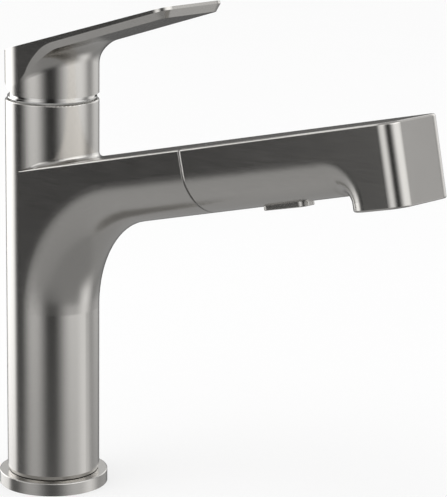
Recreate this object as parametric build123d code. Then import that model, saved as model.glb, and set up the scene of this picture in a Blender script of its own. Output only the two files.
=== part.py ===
from build123d import *
import math
import os

# Pull-out kitchen faucet, in millimetres.
# Origin: on the column axis at the deck surface. +Z is up, +X points along the spout.

# Column and spout
column_d = 44.1
column_top_z = 187.1
column_wall = 2.6
spout_top_z = 155.5
spout_rise = 13.1
spout_taper = 0.0213
spout_depth_at_axis = 31.96
spout_depth_taper = 0.0140
spout_wall = 2.4
spout_edge_r = 1.1
elbow_inner_r = 52.0
column_rim_r = 0.7
column_cove_r = 1.6
column_cove_h = 1.8
spout_root_fillet = 2.0
seam_u = 102.0
seam_gap = 0.3

# Base ring and deck fixing
ring_proud = 3.95
ring_h = 6.2
ring_edge_r = 0.5
seal_rim = 1.0
seal_t = 1.6
seal_width = 5.0
shank_wall = 1.5
shank_bore_step = 0.2
shank_length = 72.0
deck_thickness = 30.0
rubber_washer_width = 7.5
rubber_washer_t = 3.0
clamp_washer_width = 8.5
clamp_washer_t = 2.0
nut_width = 6.5
nut_t = 11.0
nut_face_gap = 2.5
clamp_screw_d = 5.0
clamp_screw_length = 22.0
clamp_screw_head_d = 8.0
clamp_screw_head_t = 3.0
clamp_screw_out = 4.5
clamp_screw_count = 2
clamp_screw_slot_w = 1.2
clamp_screw_slot_t = 1.2

# Fixed inner column and its tubes
glide_gap = 1.65
inner_column_wall = 2.6
inner_cup_wall = 1.6
inner_column_top_z = 188.4
seat_bottom_z = 148.0
seat_top_z = 153.0
window_bottom_z = 98.0
window_top_z = 148.0
window_slack = 2.0
tube_bore_gap = 0.5
tube_hose_gap = 0.7
tube_wall = 1.0
tube_side_gap = 1.04403
tube_bottom_z = -112.0
mixed_tube_rise = 8.0
tube_end_length = 22.0
tube_end_step = 0.2
glide_ring_h = 9.0
glide_ring_inset = 1.4
glide_washer_t = 0.8
swivel_half_range = 55.0
stop_screw_d = 5.0
stop_screw_z = 27.0
stop_groove_depth = 1.6
stop_screw_sunk = 0.4
stop_socket_r = 1.3
stop_socket_depth = 1.6

# Cartridge
pivot_z = 176.0
cartridge_slack = 0.6
cartridge_wall = 2.3
cartridge_base_t = 4.5
seal_ring_r = 2.6
seal_wire_r = 0.7
seal_h = 1.0
port_circle_r = 8.0
port_spread = 50.0
port_r = 2.4
fixed_disc_t = 3.2
moving_disc_t = 3.0
disc_edge_gap = 3.7
disc_pocket_r = 4.6
disc_pocket_x = -2.0
disc_port_r = 2.1
driver_t = 5.6
driver_rim = 0.1
rotor_t = 9.6
rotor_shoulder = 3.0
rotor_neck_t = 5.2
rotor_neck_wall = 1.6
housing_top_t = 3.0
nut_ring_t = 4.4
nut_neck_gap = 1.0
nut_notch_w = 3.0
nut_notch_t = 2.0
nut_notch_wall = 2.2
stem_side = 7.0
stem_ball_r = 2.9
stem_neck_r = 2.0
stem_foot_drop = 4.5
stem_chamfer = 0.6
stem_end_gap = 0.4
pivot_pin_r = 1.5
arm_length = 8.6
lift_range = 20.0
lift_relief = 2.5
relief_back = 3.0

# Trim collar under the handle
collar_gap = 0.8
collar_flange_in = 1.05
collar_flange_t = 0.7
collar_in = 1.95
collar_dome_gap = 0.46
collar_dome_wall = 1.2
collar_opening_d = 31.0
collar_lap = 1.5

# Lever handle
handle_gap = 3.0
lever_top_z = 213.87
lever_rise = 16.14
lever_length = 93.4
lever_taper = 0.0193
lever_corner_r = 6.15
lever_t_at_axis = 5.8
lever_t_taper = 0.0143
lever_bevel_h = 3.1
lever_bevel_in = 2.6
lever_root_u = 22.5
lever_root_r = 23.0
lever_root_start = -1.4
lever_root_steps = 6
lever_bevel_reach = 4.8
lever_bevel_out = 0.5
lever_bevel_steep = 0.2
lever_bevel_power = 1.5
lever_bevel_least = 0.05
lever_split_x = 36.0
lever_neck_r = 11.0
handle_wall = 1.45
handle_ceiling_z = 201.6
socket_top_z = 209.4
handle_screw_d = 4.0
handle_screw_length = 9.0
handle_screw_z = 204.0
handle_socket_r = 1.1
handle_socket_depth = 2.0
plug_d = 5.6
plug_depth = 3.0

# Spray hose
hose_d = 12.0
hose_bore_d = 7.6
hose_drop = 15.3
hose_bend_r = 45.0
hose_bottom_z = -160.0
ferrule_d = 15.0
ferrule_length = 18.0
hose_connector_d = 16.0
hose_connector_length = 26.0
connector_spigot_d = 11.0
connector_spigot_length = 10.0
connector_groove_d = 8.8
connector_groove_low = 4.0
connector_groove_w = 2.4
connector_bore_d = 6.0

# Spray head
head_end_u = 219.05
head_corner_r = 7.1
head_face_lean = 0.9
head_wall = 2.3
outlet_depth = 35.4
outlet_start_u = 179.0
outlet_bend_r = 20.0
outlet_back_round = 14.0
outlet_edge_r = 0.9
collar_spigot_d = 22.8
collar_spigot_bore_d = 19.2
collar_spigot_start_u = 82.0
collar_plate_u = 104.0
collar_plate_t = 5.0
hose_nut_d = 18.4
hose_nut_start_u = 82.4
hose_nut_length = 17.0
nut_end_gap = 0.6
nipple_d = 13.8
nipple_bore_d = 9.2
nipple_start_u = 88.4
nipple_groove_u = 91.0
guide_start_u = 60.0
guide_bush_u = 65.0
guide_bush_slack = 0.6
inlet_ring_wire_r = 0.6
waterway_start_u = 112.0
waterway_end_u = 190.0
waterway_d = 16.8
bore_lap = 4.0
check_valve_start_u = 114.0
check_valve_length = 12.0
check_valve_d = 10.4
check_valve_wall = 1.4
check_valve_back = 2.0
check_valve_stem_r = 1.6
chamber_inset = 3.2
chamber_wall = 1.6
chamber_top_drop = 13.0
chamber_depth = 29.0
spray_face_inset = 2.6
spray_face_recess = 0.9
spray_face_t = 3.0
nozzle_mat_t = 1.3
nozzle_hole_r = 0.95
nozzle_tip_r = 0.8
nozzle_root_r = 0.6
nozzle_bore_r = 0.3
nozzle_proud = 0.5
nozzle_mat_inset = 3.2
nozzle_count = 20
nozzle_end_margin = 2.75
nozzle_side_margin = 2.57
aerator_d = 17.2
aerator_wall = 1.2
aerator_h = 8.6
aerator_forward = 0.65
screen_t = 1.0
screen_hole_r = 0.55
screen_pitch = 1.75
screen_rim = 0.6
screen_recess = 1.4
aerator_recess = 0.4
insert_hole_r = 0.9
insert_hole_circle_r = 4.4
insert_hole_count = 8
insert_t = 3.4

# Mode button
button_start_u = 130.6
button_end_u = 155.7
button_w = 9.0
button_corner_r = 3.5
button_proud_w = 31.7
button_flange_out = 1.0
button_flange_t = 0.8
button_flange_w = 26.5
button_edge_r = 0.4
spool_d = 6.8
spool_u = 143.0
spool_top_w = 13.4
spool_bore_top_w = 8.2
spring_mean_r = 2.5
spring_wire_r = 0.3
spring_turns = 4
spring_end_gap = 0.15
seal_groove_w = 1.0
seal_groove_depth = 0.7
seal_groove_step = 4.2
seal_groove_start = 2.0
seal_slack = 0.02

# Fits and clearances
seat_fit = 0.05
running_fit = 0.06
slide_fit = 0.1
loose_fit = 0.3

column_r = column_d / 2
ring_r = column_r + ring_proud
seal_r = ring_r - seal_rim
bore_r = column_r - column_wall
inner_r = bore_r - glide_gap
inner_bore_r = inner_r - inner_column_wall
cup_r = inner_r - inner_cup_wall
shank_bore_r = inner_bore_r - shank_bore_step
shank_r = shank_bore_r + shank_wall
tube_d = inner_bore_r - tube_bore_gap - tube_hose_gap - hose_d / 2
tube_circle_r = inner_bore_r - tube_bore_gap - tube_d / 2
cartridge_r = cup_r - cartridge_slack
rotor_r = cartridge_r - cartridge_wall - loose_fit
moving_disc_r = rotor_r - disc_edge_gap
rotor_neck_r = rotor_r - rotor_shoulder
nut_bore_r = rotor_neck_r + nut_neck_gap
handle_bore_r = column_r - handle_wall
collar_r = column_r - collar_in
collar_dome_r = math.hypot(handle_bore_r, column_top_z + handle_gap - pivot_z) - collar_dome_gap
rise = math.radians(spout_rise)
tube_spread = math.degrees(2 * math.asin((tube_d + tube_side_gap) / (2 * tube_circle_r)))
tube_angles = [180 - tube_spread, 180, 180 + tube_spread]
port_angles = [180 - port_spread, 180, 180 + port_spread]
cutter_reach = 400.0


def cyl(radius, low, high, x=0.0, y=0.0):
    return Pos(x, y, (low + high) / 2) * Cylinder(radius, high - low)


def tube(outer, inner, low, high, x=0.0, y=0.0):
    return cyl(outer, low, high, x, y) - cyl(inner, low - 1, high + 1, x, y)


def block(x0, x1, y0, y1, z0, z1):
    return Pos((x0 + x1) / 2, (y0 + y1) / 2, (z0 + z1) / 2) * Box(x1 - x0, y1 - y0, z1 - z0)


def at_spout(shape):
    # local x runs along the spout from the column axis, local z is up from its top plane
    return Pos(0, 0, spout_top_z) * Rot(0, -spout_rise, 0) * shape


def at_lever(shape):
    return Pos(0, 0, lever_top_z) * Rot(0, -lever_rise, 0) * shape


def along_u(radius, start, end, w):
    # a cylinder along the spout, its axis w below the top plane
    return Pos((start + end) / 2, 0, -w) * Rot(0, 90, 0) * Cylinder(radius, end - start)


def along_w(radius, top, bottom, u, v=0.0):
    # a cylinder square to the spout, between two depths below the top plane
    return Pos(u, v, -(top + bottom) / 2) * Cylinder(radius, bottom - top)


def half_width(u, w):
    return half_width_at(u * math.cos(rise) + w * math.sin(rise))


def half_width_at(x):
    return column_r - spout_taper * x


def spout_depth(u):
    return spout_depth_at_axis - spout_depth_taper * u


def round_centre(u):
    # depth of the centre of the half-round underside, where it meets the flat sides
    flat = spout_depth(u) - column_r + spout_taper * u * math.cos(rise)
    return flat / (1 - spout_taper * math.sin(rise))


def side_point(u, w):
    x = u * math.cos(rise) + w * math.sin(rise)
    z = spout_top_z + u * math.sin(rise) - w * math.cos(rise)
    return Vector(x, 0, z)


def local_uw(point):
    dz = point.Z - spout_top_z
    u = point.X * math.cos(rise) + dz * math.sin(rise)
    w = point.X * math.sin(rise) - dz * math.cos(rise)
    return u, w


def u_face(point, inward, depth, reach, inset):
    # flat sides out to reach beyond the point, closed by a half ellipse on the inward side
    half = half_width_at(point.X) - inset
    out = point - inward * reach
    half_out = half_width_at(out.X) - inset
    plane = Plane(origin=point, x_dir=Vector(0, 1, 0), z_dir=Vector(0, 1, 0).cross(inward))
    if abs(half - depth + inset) < 0.001:
        bow = CenterArc((0, 0), half, 0, 180)
    else:
        bow = EllipticalCenterArc((0, 0), half, depth - inset, start_angle=0, arc_size=180)
    bow = plane * bow
    right = point + Vector(0, half, 0)
    left = point - Vector(0, half, 0)
    right_out = out + Vector(0, half_out, 0)
    left_out = out - Vector(0, half_out, 0)
    sides = [Line(left, left_out), Line(left_out, right_out), Line(right_out, right)]
    return Face(Wire([bow] + sides))


def above_top(inset):
    return at_spout(block(-cutter_reach, cutter_reach, -column_d, column_d, -inset, cutter_reach))


def behind_axis():
    return block(-cutter_reach, 0, -cutter_reach, cutter_reach, -cutter_reach, cutter_reach)


def elbow_centre():
    # centre of the elbow's curve, and the angle through which it turns
    low_0 = side_point(0, spout_depth(0))
    low_1 = side_point(seam_u, spout_depth(seam_u))
    run = (low_1 - low_0).normalized()
    down = Vector(run.Z, 0, -run.X)
    centre_x = column_r + elbow_inner_r
    s = (centre_x - low_0.X - down.X * elbow_inner_r) / run.X
    turn = 90 - math.degrees(math.atan2(run.Z, run.X))
    return low_0 + run * s + down * elbow_inner_r, turn


def elbow_section(centre, angle, reach, inset):
    a = math.radians(angle)
    radius = column_r
    for _ in range(4):
        point = centre + Vector(-math.cos(a), 0, math.sin(a)) * (elbow_inner_r + radius)
        radius = half_width_at(point.X)
    inward = (centre - point).normalized()
    return u_face(point, inward, radius, reach, inset)


def spout_section(u, reach, inset):
    down = Vector(math.sin(rise), 0, -math.cos(rise))
    w = round_centre(u)
    return u_face(side_point(u, w), down, half_width(u, w), reach, inset)


def spout_solid(inset, end_u):
    # elbow and spout, in front of the column axis and under the top plane
    centre, turn = elbow_centre()
    steps = 6
    reach = column_d
    sections = [elbow_section(centre, turn * i / steps, reach, inset) for i in range(steps + 1)]
    bend = loft(sections)
    straight = loft([sections[-1], spout_section(end_u, reach, inset)], ruled=True)
    solid = bend - behind_axis() - above_top(inset)
    return solid + (straight - above_top(inset))


def is_top_side_edge(edge):
    u, w = local_uw(edge.position_at(0.5))
    y = edge.position_at(0.5).Y
    return abs(w) < 0.01 and abs(abs(y) - half_width(u, 0)) < 0.2 and edge.length > 10


def make_spout_body():
    spout = spout_solid(0, seam_u)
    spout = fillet([e for e in spout.edges() if is_top_side_edge(e)], spout_edge_r)
    centre, turn = elbow_centre()
    low = cyl(column_r, ring_h + loose_fit, centre.Z)
    high = cyl(column_r, centre.Z, column_top_z)
    back = high & behind_axis()
    front = (high - behind_axis()) & above_top(0)
    column = low + back
    body = column + spout + front
    body = body - rim_rounding()
    root = [e for e in body.edges() if is_root_edge(e)]
    body = fillet(root, spout_root_fillet)
    cavity = spout_solid(spout_wall, seam_u + 1)
    body = body - cyl(bore_r, 0, column_top_z + 1) - cavity
    screw_hole = Pos(-column_r, 0, stop_screw_z) * Rot(0, 90, 0)
    body = body - screw_hole * Cylinder(stop_screw_d / 2 + seat_fit, column_d / 2)
    return body - foot_cove()


def rim_rounding():
    # takes the outer top edge of the column off as a quarter round
    r = column_rim_r
    ring = tube(column_r + 1, column_r - r, column_top_z - r, column_top_z + 1)
    torus = Pos(0, 0, column_top_z - r) * Torus(column_r - r, r)
    return ring - torus


def foot_cove():
    # small hollow round the foot of the column, above the ring
    low = ring_h
    high = low + loose_fit + column_cove_h
    cutter = tube(column_r + 1, column_r - column_cove_r / 2, low, high)
    cone = Pos(0, 0, (low + high) / 2) * Cone(column_r - column_cove_r / 2, column_r, high - low)
    return cutter - cone


def is_root_edge(edge):
    # where the spout's top plane meets the front of the column
    point = edge.position_at(0.5)
    u, w = local_uw(point)
    on_column = abs(math.hypot(point.X, point.Y) - column_r) < 0.05
    return abs(w) < 0.05 and on_column and point.X > 1 and edge.length > column_r


def make_base_ring():
    ring = cyl(ring_r, 0, ring_h)
    ring = fillet(ring.edges().group_by(Axis.Z)[-1], ring_edge_r)
    ring = ring - cyl(inner_r + seat_fit, -1, ring_h + 1)
    groove = tube(seal_r + seat_fit, seal_r - seal_width - seat_fit, 0, seal_t + seat_fit)
    return ring - groove


def make_base_seal():
    return tube(seal_r, seal_r - seal_width, 0, seal_t)


def make_inner_column():
    column = cyl(inner_r, 0, inner_column_top_z)
    column = column - cyl(inner_bore_r, -1, seat_bottom_z)
    column = column - cyl(cup_r, seat_top_z, inner_column_top_z + 1)
    for angle in tube_angles:
        x, y = ring_point(tube_circle_r, angle)
        column = column - cyl(tube_d / 2 - tube_wall, seat_bottom_z - 1, seat_top_z + 1, x, y)
    for angle in port_angles:
        x, y = ring_point(port_circle_r, angle)
        column = column - cyl(port_r, seat_top_z - 2, seat_top_z + 1, x, y)
    reach = swivel_half_range + window_half_angle()
    window = sector(cutter_reach, reach, window_bottom_z, window_top_z)
    column = column - window
    groove_reach = swivel_half_range + math.degrees(math.asin((stop_screw_d / 2 + loose_fit) / inner_r))
    groove = sector(cutter_reach, groove_reach, stop_screw_z - stop_screw_d / 2 - loose_fit,
                    stop_screw_z + stop_screw_d / 2 + loose_fit)
    groove = Rot(0, 0, 180) * groove - cyl(inner_r - stop_groove_depth, 0, column_top_z)
    return column - groove


def window_half_angle():
    return math.degrees(math.asin((hose_d / 2 + window_slack) / inner_bore_r))


def sector(radius, half_angle, low, high):
    # wedge of a disc about the X axis direction
    a = math.radians(half_angle)
    p1 = (radius * math.cos(a), radius * math.sin(a))
    p2 = (radius * math.cos(a), -radius * math.sin(a))
    outline = Wire([Line((0, 0), p2), ThreePointArc(p2, (radius, 0), p1), Line(p1, (0, 0))])
    return Pos(0, 0, low) * extrude(Face(outline), amount=high - low, dir=(0, 0, 1))


def ring_point(radius, angle):
    a = math.radians(angle)
    return radius * math.cos(a), radius * math.sin(a)


def make_shank():
    return tube(shank_r, shank_bore_r, -shank_length, 0)


def make_rubber_washer():
    top = -deck_thickness
    return tube(shank_r + rubber_washer_width, shank_r + seat_fit, top - rubber_washer_t, top)


def make_clamp_washer():
    top = -deck_thickness - rubber_washer_t
    return tube(shank_r + clamp_washer_width, shank_r + seat_fit, top - clamp_washer_t, top)


def nut_top():
    return -deck_thickness - rubber_washer_t - clamp_washer_t - nut_face_gap


def make_mounting_nut():
    face = RegularPolygon(shank_r + nut_width, 6, major_radius=False)
    nut = Pos(0, 0, nut_top() - nut_t) * extrude(face, amount=nut_t)
    nut = nut - cyl(shank_r + seat_fit, nut_top() - nut_t - 1, nut_top() + 1)
    for i in range(clamp_screw_count):
        x, y = ring_point(shank_r + clamp_screw_out, 360 * i / clamp_screw_count)
        nut = nut - cyl(clamp_screw_d / 2 + seat_fit, nut_top() - nut_t - 1, nut_top() + 1, x, y)
    return nut


def make_clamp_screws():
    screws = []
    top = nut_top() + nut_face_gap
    for i in range(clamp_screw_count):
        x, y = ring_point(shank_r + clamp_screw_out, 360 * i / clamp_screw_count)
        low = top - clamp_screw_length
        head = cyl(clamp_screw_head_d / 2, low - clamp_screw_head_t, low, x, y)
        slot_w = clamp_screw_slot_w / 2
        slot = block(x - clamp_screw_head_d, x + clamp_screw_head_d, y - slot_w, y + slot_w,
                     low - clamp_screw_head_t - 1, low - clamp_screw_head_t + clamp_screw_slot_t)
        screws.append(cyl(clamp_screw_d / 2, low, top, x, y) + (head - slot))
    return Compound(screws)


def make_water_tube(angle, bottom):
    x, y = ring_point(tube_circle_r, angle)
    end_top = bottom + tube_end_length
    end = cyl(tube_d / 2 - tube_end_step, bottom, end_top + 1, x, y)
    outside = cyl(tube_d / 2, end_top, seat_bottom_z, x, y) + end
    return outside - cyl(tube_d / 2 - tube_wall, bottom - 1, seat_bottom_z + 1, x, y)


def make_glide_ring(low):
    return tube(bore_r - seat_fit, inner_r + slide_fit, low, low + glide_ring_h)


def make_glide_washer():
    low = column_top_z
    return tube(collar_r - loose_fit, inner_r + slide_fit, low + seat_fit, low + glide_washer_t)


def make_stop_screw():
    tip_x = -(inner_r - stop_groove_depth + loose_fit)
    head_x = -column_r + stop_screw_sunk
    length = tip_x - head_x
    centre = Pos((tip_x + head_x) / 2, 0, stop_screw_z) * Rot(0, 90, 0)
    screw = centre * Cylinder(stop_screw_d / 2, length)
    socket = Pos(head_x, 0, stop_screw_z) * Rot(0, 90, 0)
    hexagon = extrude(RegularPolygon(stop_socket_r, 6), amount=stop_socket_depth, both=True)
    return screw - socket * hexagon


def make_cartridge_base():
    low = seat_top_z + seat_fit
    base = cyl(cartridge_r, low, low + cartridge_base_t)
    for angle in port_angles:
        x, y = ring_point(port_circle_r, angle)
        base = base - cyl(port_r, low - 1, low + cartridge_base_t + 1, x, y)
        recess = cyl(seal_ring_r + seal_wire_r + seat_fit, low - 1, low + seal_h, x, y)
        base = base - recess
    return base


def make_cartridge_seals():
    low = seat_top_z + seat_fit
    rings = []
    for angle in port_angles:
        x, y = ring_point(port_circle_r, angle)
        rings.append(tube(seal_ring_r + seal_wire_r, port_r, low, low + seal_h, x, y))
    return Compound(rings)


def disc_low():
    return seat_top_z + seat_fit + cartridge_base_t


def make_fixed_disc():
    low = disc_low()
    disc = cyl(rotor_r, low, low + fixed_disc_t)
    for angle in port_angles:
        x, y = ring_point(port_circle_r, angle)
        disc = disc - cyl(disc_port_r, low - 1, low + fixed_disc_t + 1, x, y)
    return disc


def moving_low():
    return disc_low() + fixed_disc_t + running_fit / 2


def make_moving_disc():
    low = moving_low()
    disc = cyl(moving_disc_r, low, low + moving_disc_t)
    pocket = cyl(disc_pocket_r, low - 1, low + moving_disc_t / 2, disc_pocket_x, 0)
    return disc - pocket


def driver_low():
    return moving_low() + moving_disc_t


def ball_z():
    return pivot_z - arm_length


def make_disc_driver():
    low = driver_low()
    top = rotor_low() - loose_fit
    driver = cyl(moving_disc_r + driver_rim, low, top)
    slack = stem_ball_r + loose_fit
    pocket = block(-slack, slack, -slack, slack, ball_z() - slack, top + 1)
    return driver - pocket


def rotor_low():
    return driver_low() + driver_t


def rotor_top():
    return rotor_low() + rotor_t


def stem_slot(low, high, tilt_reach):
    half = stem_side / 2 + running_fit
    return block(-tilt_reach, tilt_reach, -half, half, low, high)


def make_cartridge_rotor():
    low = rotor_low()
    rotor = cyl(rotor_r, low, rotor_top())
    rotor = rotor + cyl(rotor_neck_r, rotor_top(), rotor_top() + rotor_neck_t)
    rotor = rotor - stem_slot(low - 1, rotor_top() + rotor_neck_t + 1, rotor_neck_r - rotor_neck_wall)
    pin_hole = Pos(0, 0, pivot_z) * Rot(90, 0, 0) * Cylinder(pivot_pin_r + seat_fit, 2 * rotor_r + 2)
    return rotor - pin_hole


def make_pivot_pin():
    return Pos(0, 0, pivot_z) * Rot(90, 0, 0) * Cylinder(pivot_pin_r, 2 * rotor_neck_r)


def make_housing():
    low = disc_low() + seat_fit
    top = rotor_top() + housing_top_t + running_fit
    inner = rotor_r + loose_fit
    housing = cyl(cartridge_r, low, top) - cyl(inner, low - 1, rotor_top() + running_fit)
    return housing - cyl(rotor_neck_r + slide_fit, low, top + 1)


def housing_top_z():
    return rotor_top() + housing_top_t + running_fit


def make_cartridge_nut():
    low = housing_top_z()
    nut = tube(cup_r - seat_fit, nut_bore_r, low, low + nut_ring_t)
    for i in range(4):
        half = nut_notch_w / 2
        top = low + nut_ring_t
        notch = block(nut_bore_r - 1, cup_r - nut_notch_wall, -half, half,
                      top - nut_notch_t, top + 1)
        nut = nut - Rot(0, 0, 45 + 90 * i) * notch
    return nut


def make_stem():
    half = stem_side / 2
    low = pivot_z - stem_foot_drop
    bar = block(-half, half, -half, half, low, socket_top_z - stem_end_gap)
    bar = chamfer(bar.edges().filter_by(Axis.Z), stem_chamfer)
    neck = cyl(stem_neck_r, ball_z(), low)
    ball = Pos(0, 0, ball_z()) * Sphere(stem_ball_r)
    hole = Pos(0, 0, pivot_z) * Rot(90, 0, 0) * Cylinder(pivot_pin_r + running_fit, stem_side + 2)
    return bar + neck + ball - hole


def make_trim_collar():
    flange_low = column_top_z + collar_gap + seat_fit
    flange_top = flange_low + collar_flange_t
    outer_r = collar_r
    skirt = cyl(outer_r, flange_low, pivot_z + collar_dome_r)
    dome = Pos(0, 0, pivot_z) * Sphere(collar_dome_r)
    skirt = skirt & dome
    collar = skirt + cyl(column_r - collar_flange_in, flange_low, flange_top)
    inside = Pos(0, 0, pivot_z) * Sphere(collar_dome_r - collar_dome_wall)
    above = cyl(outer_r - collar_dome_wall, inner_column_top_z - collar_lap, pivot_z + collar_dome_r)
    collar = collar - (inside & above)
    collar = collar - cyl(inner_r + seat_fit, column_top_z, inner_column_top_z)
    return collar - cyl(collar_opening_d / 2, column_top_z, pivot_z + collar_dome_r + 1)


def lever_half_width(x):
    return column_r - lever_taper * x


def lever_thickness(u):
    return lever_t_at_axis - lever_t_taper * u


def lever_point(u, w):
    # a point of the middle plane, u along the blade and w below its top plane
    a = math.radians(lever_rise)
    x = u * math.cos(a) + w * math.sin(a)
    return Vector(x, 0, lever_top_z + u * math.sin(a) - w * math.cos(a))


def make_lever_handle():
    bottom = column_top_z + handle_gap
    root = lever_root(bottom) - beyond_split()
    for side in (-1, 1):
        for cutter in lever_root_bevels(side):
            root = root - cutter
    root = root + lever_post(bottom)
    tip = lever_blade() & beyond_split()
    return root + tip - handle_hollow(bottom)


def beyond_split():
    # the blade is made with its bevel past this upright plane, and with its neck before it
    return block(lever_split_x, cutter_reach, -cutter_reach, cutter_reach, -cutter_reach, cutter_reach)


def lever_slab():
    # between the blade's top plane and its underside, as far as the tip
    back = -2 * column_d
    tip = lever_length
    points = [(back, 0, 0), (tip, 0, 0), (tip, 0, -lever_thickness(tip)), (back, 0, -lever_thickness(back))]
    side = Face(Wire([Line(points[i], points[(i + 1) % 4]) for i in range(4)]))
    return at_lever(extrude(side, amount=2 * column_d, dir=(0, 1, 0), both=True))


def lever_sides():
    # between the two upright side planes, which touch the cylinder
    angle = math.atan(lever_taper)
    near_x = column_r * math.sin(angle)
    near_y = column_r * math.cos(angle)
    far_x = 2 * lever_length
    far_y = near_y - lever_taper * (far_x - near_x)
    corners = [(near_x, -near_y), (far_x, -far_y), (far_x, far_y), (near_x, near_y)]
    plan = make_face(Polyline(corners, close=True))
    return extrude(plan, amount=cutter_reach, dir=(0, 0, 1))


def lever_root(bottom):
    # cylinder and blade with the rolling blend between them
    solid = lever_post(bottom) + lever_slab()
    solid = fillet([e for e in solid.edges() if is_neck_edge(e)], lever_neck_r)
    return solid & (cyl(column_r, bottom, lever_top_z + column_r) + lever_sides())


def lever_post(bottom):
    # the cylinder, cut off by the blade's top plane
    back = 2 * column_d
    below = at_lever(block(-back, back, -back, back, -lever_top_z, 0))
    return cyl(column_r, bottom, lever_top_z + column_r) & below


def is_neck_edge(edge):
    point = edge.position_at(0.3)
    on_post = abs(math.hypot(point.X, point.Y) - column_r) < 0.01
    return on_post and edge.length > column_r and point.Z > column_top_z + 2 * handle_gap


def lever_root_bevels(side):
    # take off the edge between the side plane and the underside, running out down the neck
    count = lever_root_steps
    faces = []
    for i in range(count):
        share = i / (count - 1)
        u = lever_root_start + (lever_root_u - lever_root_start) * share
        faces.append(bevel_section(u, side, share))
    end = bevel_section(lever_split_x + column_r, side, 1)
    return [loft(faces), loft([faces[-1], end], ruled=True)]


def bevel_section(u, side, share):
    # from the flat's lower edge inward and down; nearly upright where it starts
    edge_w = lever_thickness(u) - lever_bevel_h + max(0, lever_root_u - u) ** 2 / (2 * lever_root_r)
    slope = lever_bevel_h / lever_bevel_in / max(share, lever_bevel_steep)
    reach = lever_bevel_reach * share ** lever_bevel_power + lever_bevel_least
    half = lever_half_width(lever_point(u, edge_w).X)
    drop = reach * slope
    outer = lever_point(u, edge_w - lever_bevel_out * slope)
    inner = lever_point(u, edge_w + drop)
    low = lever_point(u, edge_w + drop + lever_bevel_h)
    points = [
        outer + Vector(0, side * (half + lever_bevel_out), 0),
        inner + Vector(0, side * (half - reach), 0),
        low + Vector(0, side * (half - reach), 0),
        low + Vector(0, side * (half + lever_bevel_out), 0),
    ]
    return Face(Wire([Line(points[i], points[(i + 1) % 4]) for i in range(4)]))


def lever_blade():
    # blade with round corners at its tip and the bevel under its sides and tip
    blade = lever_slab() & lever_sides()
    end = lever_point(lever_length, lever_thickness(lever_length) / 2)
    corners = [e for e in blade.edges() if is_tip_corner(e, end)]
    blade = fillet(corners, lever_corner_r)
    under = [f for f in blade.faces() if f.normal_at().Z < -0.9][0]
    edges = [e for e in under.edges() if e.center().X > column_r / 2]
    return chamfer(edges, lever_bevel_in, lever_bevel_h, reference=under)


def is_tip_corner(edge, end):
    middle = edge.center()
    return abs(middle.X - end.X) < 1 and edge.length < column_r and abs(middle.Y) > column_r / 2


def handle_hollow(bottom):
    bore = cyl(handle_bore_r, bottom - 1, handle_ceiling_z)
    socket_half = stem_side / 2 + seat_fit
    socket = block(-socket_half, socket_half, -socket_half, socket_half, bottom, socket_top_z)
    relief = Pos(-relief_back, 0, bottom) * Rot(0, lift_range + lift_relief, 0)
    relief = relief * block(-column_d, 0, -column_d, column_d, -column_d, 0)
    screw = Pos(-column_r / 2, 0, handle_screw_z) * Rot(0, 90, 0)
    screw = screw * Cylinder(handle_screw_d / 2 + seat_fit, column_r)
    plug = Pos(-column_r, 0, handle_screw_z) * Rot(0, 90, 0)
    plug = plug * Cylinder(plug_d / 2 + seat_fit, 2 * plug_depth)
    return bore + socket + relief + screw + plug


def make_handle_screw():
    start = -stem_side / 2 - seat_fit
    screw = Pos(start - handle_screw_length / 2, 0, handle_screw_z) * Rot(0, 90, 0)
    screw = screw * Cylinder(handle_screw_d / 2, handle_screw_length)
    socket = Pos(start - handle_screw_length, 0, handle_screw_z) * Rot(0, 90, 0)
    hexagon = extrude(RegularPolygon(handle_socket_r, 6), amount=handle_socket_depth, both=True)
    return screw - socket * hexagon


def make_indicator_plug():
    body = Pos(-column_r + plug_depth / 2, 0, handle_screw_z) * Rot(0, 90, 0)
    plug = body * Cylinder(plug_d / 2, plug_depth)
    return plug & cyl(column_r - 0.05, handle_screw_z - plug_d, handle_screw_z + plug_d)


def hose_path():
    # up the column, one bend of hose_bend_r, then along the spout
    axis_z = spout_top_z - hose_drop / math.cos(rise)
    turn = math.radians(90 - spout_rise)
    tangent = hose_bend_r * math.tan(turn / 2)
    bend_start = Vector(0, 0, axis_z - tangent)
    direction = Vector(math.cos(rise), 0, math.sin(rise))
    bend_end = Vector(0, 0, axis_z) + direction * tangent
    end = side_point(nipple_start_u - seat_fit * 2, hose_drop)
    centre = bend_start + Vector(hose_bend_r, 0, 0)
    mid = centre + Vector(-hose_bend_r * math.cos(turn / 2), 0, hose_bend_r * math.sin(turn / 2))
    return [
        Line(Vector(0, 0, hose_bottom_z), bend_start),
        ThreePointArc(bend_start, mid, bend_end),
        Line(bend_end, end),
    ]


def make_hose():
    path = Wire(hose_path())
    start = Plane(origin=(0, 0, hose_bottom_z), z_dir=(0, 0, 1))
    outer = sweep(start * Circle(hose_d / 2), path)
    inner = sweep(start * Circle(hose_bore_d / 2), path)
    hose = outer - inner
    print("hose length", round(path.length, 1), "bend radius", hose_bend_r)
    return hose


def make_head_ferrule():
    end = nipple_start_u - seat_fit * 2
    outer = along_u(ferrule_d / 2, end - ferrule_length, end, hose_drop)
    return at_spout(outer - along_u(hose_d / 2 + seat_fit, 0, end + 1, hose_drop))


def make_lower_ferrule():
    low = hose_bottom_z
    return tube(ferrule_d / 2, hose_d / 2 + seat_fit, low, low + ferrule_length)


def make_hose_connector():
    top = hose_bottom_z - seat_fit
    low = top - hose_connector_length
    step = low + connector_spigot_length
    body = tube(hose_connector_d / 2, connector_bore_d / 2, step, top)
    spigot = tube(connector_spigot_d / 2, connector_bore_d / 2, low, step)
    groove_low = low + connector_groove_low
    groove = tube(hose_connector_d / 2, connector_groove_d / 2, groove_low, groove_low + connector_groove_w)
    return body + spigot - groove


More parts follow.
